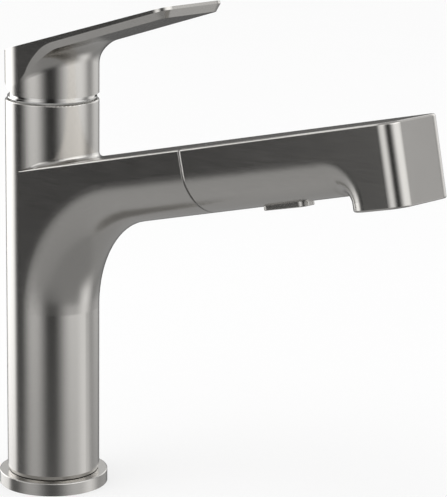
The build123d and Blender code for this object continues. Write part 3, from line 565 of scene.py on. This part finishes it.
def thread_radius(height, angle):
    """Radius of the rolled thread: rounded roots and flat-topped crests along a helix."""
    phase = (height / THREAD_PITCH - angle / (2 * math.pi)) % 1.0
    wave = 0.5 + 0.5 * math.cos(2 * math.pi * phase)
    return SHANK_RADIUS - THREAD_DEPTH * (1 - min(1.0, wave * THREAD_CREST))


def threaded_shank(steps=96, rows_per_turn=8):
    """Verts and faces of the shank, a threaded tube that hangs from the deck's top."""
    low, high = -SHANK_LENGTH, 0.0
    root = SHANK_RADIUS - THREAD_DEPTH
    rows = int(round((high - low) / THREAD_PITCH * rows_per_turn))
    verts = []
    for k in range(rows + 1):
        height = low + (high - low) * k / rows
        from_end = min(height - low, high - height)
        lead = min(1.0, THREAD_START + from_end / (THREAD_LEAD * THREAD_PITCH))
        for i in range(steps):
            a = 2 * math.pi * i / steps
            r = root + (thread_radius(height, a) - root) * lead
            verts.append((r * math.cos(a), r * math.sin(a), height))
    faces = []
    for k in range(rows):
        for i in range(steps):
            j = (i + 1) % steps
            faces.append((k * steps + i, k * steps + j, (k + 1) * steps + j, (k + 1) * steps + i))
    inner = len(verts)
    top = rows * steps
    for height in (low, high):
        for i in range(steps):
            a = 2 * math.pi * i / steps
            verts.append((SHANK_BORE * math.cos(a), SHANK_BORE * math.sin(a), height))
    for i in range(steps):
        j = (i + 1) % steps
        faces.append((inner + j, inner + i, inner + steps + i, inner + steps + j))
        faces.append((i, inner + i, inner + j, j))
        faces.append((top + j, inner + steps + j, inner + steps + i, top + i))
    return verts, faces


def spout_point(along, drop):
    """A point on the plane of the spout, a distance along it and a drop below its top."""
    return SPOUT_START + ALONG_SPOUT * along - ABOVE_SPOUT * drop


def hose_route(low):
    """Centre, direction and length so far, all the way up the hose."""
    axis_height = SPOUT_START.z - HOSE_DROP / math.cos(SPOUT_RISE)
    turn = math.pi / 2 - SPOUT_RISE
    tangent = HOSE_BEND * math.tan(turn / 2)
    bend_start = Vector((0, 0, axis_height - tangent))
    end = spout_point(HOSE_END, HOSE_DROP)
    bend_end = Vector((0, 0, axis_height)) + ALONG_SPOUT * tangent
    middle = bend_start + Vector((HOSE_BEND, 0, 0))
    line = []
    straight_rows, bend_rows, spout_rows = HOSE_ROWS
    for k in range(straight_rows):
        point = Vector((0, 0, low)).lerp(bend_start, k / straight_rows)
        line.append((point, Vector((0, 0, 1))))
    for k in range(bend_rows):
        a = turn * k / bend_rows
        point = middle + Vector((-math.cos(a), 0, math.sin(a))) * HOSE_BEND
        line.append((point, Vector((math.sin(a), 0, math.cos(a)))))
    for k in range(spout_rows + 1):
        line.append((bend_end.lerp(end, k / spout_rows), ALONG_SPOUT.copy()))
    route = []
    run = 0.0
    for k, (point, way) in enumerate(line):
        if k:
            run += (point - line[k - 1][0]).length
        route.append((point, way, run))
    return route


def hose_tube(name, route, material, steps=48):
    """A hose along a route, which keeps its length and turn for the braid."""
    verts = []
    faces = []
    marks = []
    side = Vector((0, 1, 0))
    for point, way, run in route:
        across = way.cross(side).normalized()
        for i in range(steps + 1):
            a = 2 * math.pi * i / steps
            verts.append(point + (side * math.cos(a) + across * math.sin(a)) * HOSE_RADIUS)
            marks.append((i / steps, run, 0.0))
    row = steps + 1
    for k in range(len(route) - 1):
        for i in range(steps):
            faces.append((k * row + i, k * row + i + 1, (k + 1) * row + i + 1, (k + 1) * row + i))
    obj = smooth_piece(name, verts, faces, material)
    stored = obj.data.attributes.new("hose_route", "FLOAT_VECTOR", "POINT")
    for index, mark in enumerate(marks):
        stored.data[index].vector = mark
    return obj


def wound_wire(rows_per_turn=32, sides=10):
    """Verts and faces of the button's coil spring, wound up its own short axis."""
    rows = SPRING_TURNS * rows_per_turn
    rise = SPRING_FOOT - SPRING_TOP
    lean = rise / SPRING_TURNS / (2 * math.pi * SPRING_RADIUS)
    across = Vector((0, 1, 0))
    verts = []
    for k in range(rows + 1):
        a = 2 * math.pi * k / rows_per_turn
        outward = ALONG_SPOUT * math.cos(a) + across * math.sin(a)
        around = across * math.cos(a) - ALONG_SPOUT * math.sin(a)
        centre = spout_point(SPRING_ALONG, SPRING_FOOT - rise * k / rows)
        centre = centre + outward * SPRING_RADIUS
        up = (ABOVE_SPOUT - around * lean).normalized()
        for i in range(sides):
            b = 2 * math.pi * i / sides
            verts.append(centre + (outward * math.cos(b) + up * math.sin(b)) * SPRING_WIRE)
    faces = [list(range(sides))[::-1], [rows * sides + i for i in range(sides)]]
    for k in range(rows):
        for i in range(sides):
            j = (i + 1) % sides
            low, high = k * sides, (k + 1) * sides
            faces.append((low + i, low + j, high + j, high + i))
    return verts, faces


class FaucetStageOperator(bpy.types.Operator):
    """Makes the camera, the pale floor, the soft lamp and the studio panels"""

    bl_idname = "faucet.make_stage"
    bl_label = "Camera and studio"

    def execute(self, context):
        scene = context.scene
        scene.view_settings.view_transform = "Standard"
        self.make_camera(scene)
        self.make_floor(scene)
        self.make_lamp(scene)
        self.make_world(scene)
        return {"FINISHED"}

    def make_camera(self, scene):
        view = scene.faucet_camera
        data = bpy.data.cameras.new("Camera")
        data.sensor_width = SENSOR_WIDTH
        data.lens = view.lens
        data.shift_x, data.shift_y = view.shift
        data.clip_start, data.clip_end = 0.05, 60.0
        camera = bpy.data.objects.new("Camera", data)
        scene.collection.objects.link(camera)
        up = Vector((0, 0, 1))
        out = Vector((math.sin(view.around), -math.cos(view.around), 0))
        ahead = Quaternion(up, -view.turn) @ -out
        right = ahead.cross(up).normalized()
        ahead = Quaternion(right, -view.dip) @ ahead
        above = right.cross(ahead)
        lean = Quaternion(ahead, view.roll)
        right, above = lean @ right, lean @ above
        matrix = Matrix((right, above, -ahead)).transposed().to_4x4()
        matrix.translation = out * view.distance + up * view.height
        camera.matrix_world = matrix
        scene.camera = camera

    def make_floor(self, scene):
        studio = scene.faucet_studio
        half = studio.floor_size / 2
        mesh = bpy.data.meshes.new("floor")
        corners = [(-half, -half, 0), (half, -half, 0), (half, half, 0), (-half, half, 0)]
        mesh.from_pydata(corners, [], [(0, 1, 2, 3)])
        floor = bpy.data.objects.new("floor", mesh)
        scene.collection.objects.link(floor)
        material, tree, shader, place = fresh_material("pale floor")
        colours = tinted(
            tree,
            spread(tree, grain(tree, place, 3.0), 0, 1),
            studio.floor_colour,
            shade(studio.floor_colour, 1.02),
        )
        tree.links.new(colours, shader.inputs["Base Color"])
        shader.inputs["Roughness"].default_value = 0.8
        shader.inputs["Specular IOR Level"].default_value = 0.2
        clear = add_node(tree, "ShaderNodeBsdfTransparent").outputs["BSDF"]
        rays = add_node(tree, "ShaderNodeLightPath").outputs
        mirrored = figure(tree, "MAXIMUM", rays["Is Glossy Ray"], rays["Is Transmission Ray"])
        glow = add_node(tree, "ShaderNodeEmission", {"Color": WHITE, "Strength": 1.0})
        seen = figure(tree, "MULTIPLY", rays["Is Camera Ray"], studio.floor_glow)
        pale = mixed_shader(tree, seen, shader.outputs["BSDF"], glow.outputs["Emission"])
        out = next(n for n in tree.nodes if n.type == "OUTPUT_MATERIAL")
        tree.links.new(mixed_shader(tree, mirrored, pale, clear), out.inputs["Surface"])
        mesh.materials.append(material)
        for node in BELOW_DECK:
            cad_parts[node].visible_glossy = False

    def make_lamp(self, scene):
        data = bpy.data.lights.new("soft lamp", "AREA")
        data.shape = "DISK"
        data.size = LAMP_SIZE
        data.energy = scene.faucet_studio.lamp_power
        lamp = bpy.data.objects.new("soft lamp", data)
        scene.collection.objects.link(lamp)
        lamp.location = LAMP_PLACE
        lamp.rotation_euler = (LAMP_AIM - LAMP_PLACE).to_track_quat("-Z", "Y").to_euler()
        lamp.visible_camera = False
        lamp.visible_glossy = False

    def make_world(self, scene):
        studio = scene.faucet_studio
        world = bpy.data.worlds.new("studio")
        scene.world = world
        world.use_nodes = True
        tree = world.node_tree
        tree.nodes.clear()
        rays = add_node(tree, "ShaderNodeLightPath").outputs
        soft = self.background(tree, studio.soft_level)
        mirrored = self.background(tree, self.mirrored_studio(tree, studio))
        white = self.background(tree, 1.0)
        lit = mixed_shader(tree, rays["Is Glossy Ray"], soft, mirrored)
        seen = mixed_shader(tree, rays["Is Camera Ray"], lit, white)
        add_node(tree, "ShaderNodeOutputWorld", {"Surface": seen})

    def background(self, tree, level):
        """White light from all round, at a level."""
        inputs = {"Color": WHITE, "Strength": level}
        return add_node(tree, "ShaderNodeBackground", inputs).outputs["Background"]

    def mirrored_studio(self, tree, studio):
        """Level of the studio as the metal mirrors it: walls, panels, ground, ceiling, patches."""
        place = add_node(tree, "ShaderNodeTexCoord").outputs["Generated"]
        parts = add_node(tree, "ShaderNodeSeparateXYZ", {"Vector": place})
        level = add_node(
            tree,
            "ShaderNodeCombineXYZ",
            {"X": parts.outputs["X"], "Y": parts.outputs["Y"], "Z": 0.0},
        )
        compass = add_node(
            tree, "ShaderNodeVectorMath", {0: level.outputs["Vector"]}, operation="NORMALIZE"
        ).outputs["Vector"]
        height = figure(tree, "ARCSINE", parts.outputs["Z"])
        total = studio.wall_level
        for panel in PANELS:
            total = figure(tree, "ADD", total, self.panel_level(tree, compass, height, panel))
        ground = studio.ground_level
        for patch in GROUND_SHADES:
            ground = figure(tree, "ADD", ground, self.panel_level(tree, compass, height, patch))
        low = fade(tree, height, *map(math.radians, GROUND_FADE))
        total = blended(tree, low, total, ground)
        ceiling = fade(tree, height, *map(math.radians, CEILING_FADE))
        total = blended(tree, ceiling, total, studio.overhead_level)
        for patch in (GROUND_PATCH, HIGH_PATCH):
            total = figure(tree, "ADD", total, self.patch_level(tree, compass, height, patch))
        return figure(tree, "MULTIPLY", total, studio.panel_level)

    def patch_level(self, tree, compass, height, patch):
        """A bright patch that comes up from its low edge and fades out again to its high edge."""
        toward, half, soft, level, low, middle, high = patch
        rising = self.panel_level(tree, compass, height, (toward, half, soft, level, low, middle))
        falling = fade(tree, height, math.radians(high), math.radians(middle))
        return figure(tree, "MULTIPLY", rising, falling)

    def panel_level(self, tree, compass, height, panel):
        """Level that a panel adds: full within its half width, then fading over its soft edge."""
        toward, half, soft, level, low, high = panel
        a = math.radians(toward)
        off = figure(tree, "ARCCOSINE", reach(tree, compass, (math.cos(a), math.sin(a), 0)))
        across = fade(tree, off, math.radians(half + soft), math.radians(half))
        upward = fade(tree, height, math.radians(low), math.radians(high))
        return figure(tree, "MULTIPLY", figure(tree, "MULTIPLY", across, upward), level)


class FaucetBodyOperator(bpy.types.Operator):
    """Finishes the column, spout, spray head, handle and base ring in brushed nickel"""

    bl_idname = "faucet.finish_body"
    bl_label = "Brushed body"

    def execute(self, context):
        metal = context.scene.faucet_metal
        nickel, roughness, depth = metal.nickel, metal.roughness, metal.stroke_depth
        lengthwise = (0.05, 1.0, 1.0), (0, SPOUT_RISE, 0)
        round_about = (0.06, 0.06, 1.3), (0, 0, 0)
        handle = brushed_metal("brushed nickel", nickel, roughness, *lengthwise, depth)
        ring = brushed_metal("brushed ring", nickel, roughness, *round_about, depth * 2)
        spout = brushed_metal("brushed spout", nickel, roughness, *lengthwise, depth)
        round_seam(spout, metal.eased_edge)
        for node in ("spout_body", "head_shell"):
            smooth_by_angle(dress(node, spout))
        smooth_by_angle(dress("lever_handle", handle))
        smooth_by_angle(dress("base_ring", ring))
        return {"FINISHED"}


class FaucetTrimOperator(bpy.types.Operator):
    """Finishes the polished collar, the mode button and the hot and cold plug"""

    bl_idname = "faucet.finish_trim"
    bl_label = "Trim"

    def execute(self, context):
        metal = context.scene.faucet_metal
        polished = turned_metal("polished collar", (0.70, 0.69, 0.67), 0.09, 0.0000006)
        # The button is the body's nickel made 8% darker: painted shade for its place under the
        # spray head. Its higher roughness and deeper strokes are its own satin finish.
        satin = brushed_metal(
            "satin button with painted shade",
            shade(metal.nickel, 0.92),
            0.27,
            (0.2, 1.0, 1.0),
            (0, SPOUT_RISE, 0),
            0.000003,
        )
        smooth_by_angle(dress("trim_collar", polished))
        smooth_by_angle(dress("mode_button", satin))
        smooth_by_angle(dress("indicator_plug", two_tone_plug("hot and cold plug")))
        return {"FINISHED"}


class FaucetBrassOperator(bpy.types.Operator):
    """Finishes the brass pieces and cuts the thread of the shank"""

    bl_idname = "faucet.make_brass"
    bl_label = "Brass pieces"

    def execute(self, context):
        brass = turned_metal("turned brass", context.scene.faucet_metal.brass, 0.26, 0.000004)
        nodes = ("inner_column", "mounting_nut", "cartridge_nut", "hose_connector", "hose_nut")
        for node in nodes:
            smooth_by_angle(dress(node, brass))
        shank = smooth_piece("shank_thread", *threaded_shank(), brass)
        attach(shank, "base")
        shank.visible_glossy = False
        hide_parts("mounting_shank")
        return {"FINISHED"}


class FaucetTubesOperator(bpy.types.Operator):
    """Finishes the supply and mixed-water tubes in drawn copper"""

    bl_idname = "faucet.finish_tubes"
    bl_label = "Copper tubes"

    def execute(self, context):
        copper = brushed_metal(
            "drawn copper",
            context.scene.faucet_metal.copper,
            0.28,
            (1.0, 1.0, 0.03),
            (0, 0, 0),
            0.000004,
            1100.0,
        )
        for node in ("cold_tube", "mixed_tube", "hot_tube"):
            smooth_by_angle(dress(node, copper))
        return {"FINISHED"}


class FaucetSteelOperator(bpy.types.Operator):
    """Finishes the steel pieces and winds the button's spring"""

    bl_idname = "faucet.make_steel"
    bl_label = "Steel pieces"

    def execute(self, context):
        colour = context.scene.faucet_metal.steel
        steel = turned_metal("stainless steel", colour, 0.24, 0.000003)
        nodes = (
            "clamp_washer",
            "pivot_pin",
            "valve_stem",
            "handle_screw",
            "swivel_stop_screw",
            "clamp_screws",
            "lower_ferrule",
            "head_ferrule",
            "aerator_screen",
        )
        for node in nodes:
            smooth_by_angle(dress(node, steel))
        coil = smooth_piece("spring_coil", *wound_wire(), steel)
        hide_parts("button_spring")
        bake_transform(coil)
        return {"FINISHED"}


class FaucetPlasticOperator(bpy.types.Operator):
    """Finishes the moulded, rubber, silicone and ceramic pieces"""

    bl_idname = "faucet.finish_plastic"
    bl_label = "Moulded pieces"

    def execute(self, context):
        finishes = {
            moulded_plastic("white acetal", (0.78, 0.78, 0.76), 0.42, 0.00002): (
                "lower_glide_ring",
                "upper_glide_ring",
                "glide_washer",
                "cartridge_base",
                "cartridge_housing",
                "cartridge_rotor",
                "disc_driver",
                "spout_guide",
                "docking_collar",
                "waterway",
                "check_valve",
                "diverter_spool",
                "aerator_insert",
            ),
            moulded_plastic("dark plastic", (0.045, 0.045, 0.048), 0.4, 0.00003): (
                "spray_face",
                "aerator_housing",
            ),
            moulded_plastic("black rubber", (0.02, 0.02, 0.02), 0.62, 0.00004): (
                "base_seal",
                "rubber_washer",
                "cartridge_seals",
                "inlet_ring",
                "spool_seals",
            ),
            moulded_plastic("grey silicone", (0.20, 0.205, 0.21), 0.5, 0.00002): ("nozzle_mat",),
            moulded_plastic("ground ceramic", (0.86, 0.86, 0.83), 0.12, 0.000002, 2500.0): (
                "fixed_disc",
                "moving_disc",
            ),
        }
        for material, nodes in finishes.items():
            for node in nodes:
                smooth_by_angle(dress(node, material))
        return {"FINISHED"}


class FaucetHoseOperator(bpy.types.Operator):
    """Lays the braided hose, in a fixed lower run and an upper run"""

    bl_idname = "faucet.make_hose"
    bl_label = "Braided hose"

    def execute(self, context):
        braid = braided_nylon("nylon braid", context.scene.faucet_hose)
        route = hose_route(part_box("spray_hose")[0].z)
        split = next(
            k for k, row in enumerate(route) if (row[0] - SPOUT_START) @ ALONG_SPOUT > HOSE_SPLIT
        )
        lower = hose_tube("hose_lower", route[: split + 1], braid)
        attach(lower, "spout")
        lower.visible_glossy = False
        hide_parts("spray_hose")
        upper = hose_tube("hose_upper", route[split:], braid)
        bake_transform(upper)
        return {"FINISHED"}


OPERATORS = (
    FaucetStageOperator,
    FaucetBodyOperator,
    FaucetTrimOperator,
    FaucetBrassOperator,
    FaucetTubesOperator,
    FaucetSteelOperator,
    FaucetPlasticOperator,
    FaucetHoseOperator,
)


class FaucetPanel(bpy.types.Panel):
    """Lists the faucet's makers and their sizes"""

    bl_idname = "VIEW3D_PT_faucet"
    bl_label = "Faucet"
    bl_space_type = "VIEW_3D"
    bl_region_type = "UI"
    bl_category = "Faucet"

    def draw(self, context):
        layout = self.layout
        for operator in OPERATORS:
            layout.operator(operator.bl_idname)
        for name in SETTINGS:
            box = layout.box()
            group = getattr(context.scene, name)
            for key in group.bl_rna.properties.keys():
                if key not in ("rna_type", "name"):
                    box.prop(group, key)


SETTINGS = {
    "faucet_camera": FaucetCamera,
    "faucet_studio": FaucetStudio,
    "faucet_metal": FaucetMetal,
    "faucet_hose": FaucetHose,
}


def register():
    for name, group in SETTINGS.items():
        bpy.utils.register_class(group)
        setattr(bpy.types.Scene, name, PointerProperty(type=group))
    for operator in OPERATORS:
        bpy.utils.register_class(operator)
    bpy.utils.register_class(FaucetPanel)


def unregister():
    bpy.utils.unregister_class(FaucetPanel)
    for operator in reversed(OPERATORS):
        bpy.utils.unregister_class(operator)
    for name, group in SETTINGS.items():
        delattr(bpy.types.Scene, name)
        bpy.utils.unregister_class(group)


def main():
    register()
    bpy.ops.faucet.make_stage()
    bpy.ops.faucet.finish_body()
    bpy.ops.faucet.finish_trim()
    bpy.ops.faucet.make_brass()
    bpy.ops.faucet.finish_tubes()
    bpy.ops.faucet.make_steel()
    bpy.ops.faucet.finish_plastic()
    bpy.ops.faucet.make_hose()


if __name__ == "__main__":
    main()
